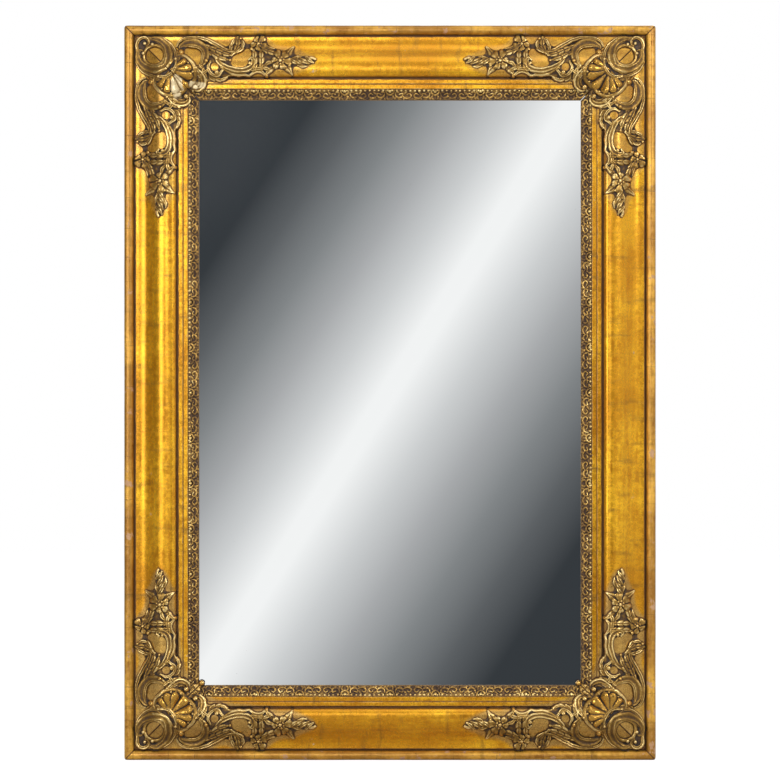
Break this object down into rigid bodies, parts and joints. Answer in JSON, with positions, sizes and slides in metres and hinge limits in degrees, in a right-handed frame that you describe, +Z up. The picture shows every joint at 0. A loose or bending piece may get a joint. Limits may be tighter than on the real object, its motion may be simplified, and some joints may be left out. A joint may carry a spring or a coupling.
{
  "type": "pier mirror",
  "caption": "Tall wall mirror in a wide gilt ogee frame with half-round outer beads, a patterned sight strip and cast scrolls, shells and blossoms at its corners; iron rings at the back.",
  "frame": {"origin": "middle of the bottom of the bounding box: under the middle of the mirror's width and depth", "axes": "+Z up, the glass faces -Y, the back rails' flat backs face +Y, +X is to the right for someone who looks into the mirror"},
  "size_m": [1.01, 0.0764, 1.396],
  "materials": {
    "gilt_panel": "bronze-gold leaf on gesso over pine, glossy, finely cracked and rubbed through on the edges",
    "gilt_bead": "gold leaf on gesso over pine, worn to the pale gesso along its top",
    "gilt_sight": "gold leaf over a fine pressed running-leaf pattern, dark in the hollows",
    "gilt_casting": "pressed composition, toned bronze-gold leaf, dark in the hollows and burnished on the shell",
    "silvered_glass": "silvered plate glass with plain edges",
    "aged_pine": "unfinished pine, darkened with age",
    "forged_iron": "forged iron, dull brown-black"
  },
  "bodies": {
    "frame": {"moulding_bottom": "gilt_panel", "moulding_right": "gilt_panel", "moulding_top": "gilt_panel", "moulding_left": "gilt_panel", "outer_bead_bottom": "gilt_bead", "outer_bead_right": "gilt_bead", "outer_bead_top": "gilt_bead", "outer_bead_left": "gilt_bead", "sight_strip_bottom": "gilt_sight", "sight_strip_right": "gilt_sight", "sight_strip_top": "gilt_sight", "sight_strip_left": "gilt_sight", "cartouche_bottom_left": "gilt_casting", "cartouche_bottom_right": "gilt_casting", "cartouche_top_left": "gilt_casting", "cartouche_top_right": "gilt_casting", "spray_bottom_left_level": "gilt_casting", "spray_bottom_left_upright": "gilt_casting", "spray_bottom_right_level": "gilt_casting", "spray_bottom_right_upright": "gilt_casting", "spray_top_left_level": "gilt_casting", "spray_top_left_upright": "gilt_casting", "spray_top_right_level": "gilt_casting", "spray_top_right_upright": "gilt_casting", "mirror_plate": "silvered_glass", "back_rail_bottom": "aged_pine", "back_rail_right": "aged_pine", "back_rail_top": "aged_pine", "back_rail_left": "aged_pine", "corner_block_bottom_left": "aged_pine", "corner_block_bottom_right": "aged_pine", "corner_block_top_left": "aged_pine", "corner_block_top_right": "aged_pine", "glazing_block_1": "aged_pine", "glazing_block_2": "aged_pine", "glazing_block_3": "aged_pine", "glazing_block_4": "aged_pine", "glazing_block_5": "aged_pine", "glazing_block_6": "aged_pine", "glazing_block_7": "aged_pine", "glazing_block_8": "aged_pine", "backboard_1": "aged_pine", "backboard_2": "aged_pine", "backboard_3": "aged_pine", "hanger_plate_left": "forged_iron", "hanger_screw_left_1": "forged_iron", "hanger_screw_left_2": "forged_iron", "hanger_plate_right": "forged_iron", "hanger_screw_right_1": "forged_iron", "hanger_screw_right_2": "forged_iron"},
    "ring_left": {"hanging_ring_left": "forged_iron"},
    "ring_right": {"hanging_ring_right": "forged_iron"}
  },
  "joints": [
    {"name": "ring_left_swing", "type": "hinge", "parent": "frame", "child": "ring_left", "pos_m": [-0.4205, 0.02421, 1.05], "axis": [1, 0, 0], "range_deg": [0, 180]},
    {"name": "ring_right_swing", "type": "hinge", "parent": "frame", "child": "ring_right", "pos_m": [0.4205, 0.02421, 1.05], "axis": [1, 0, 0], "range_deg": [0, 180]}
  ]
}
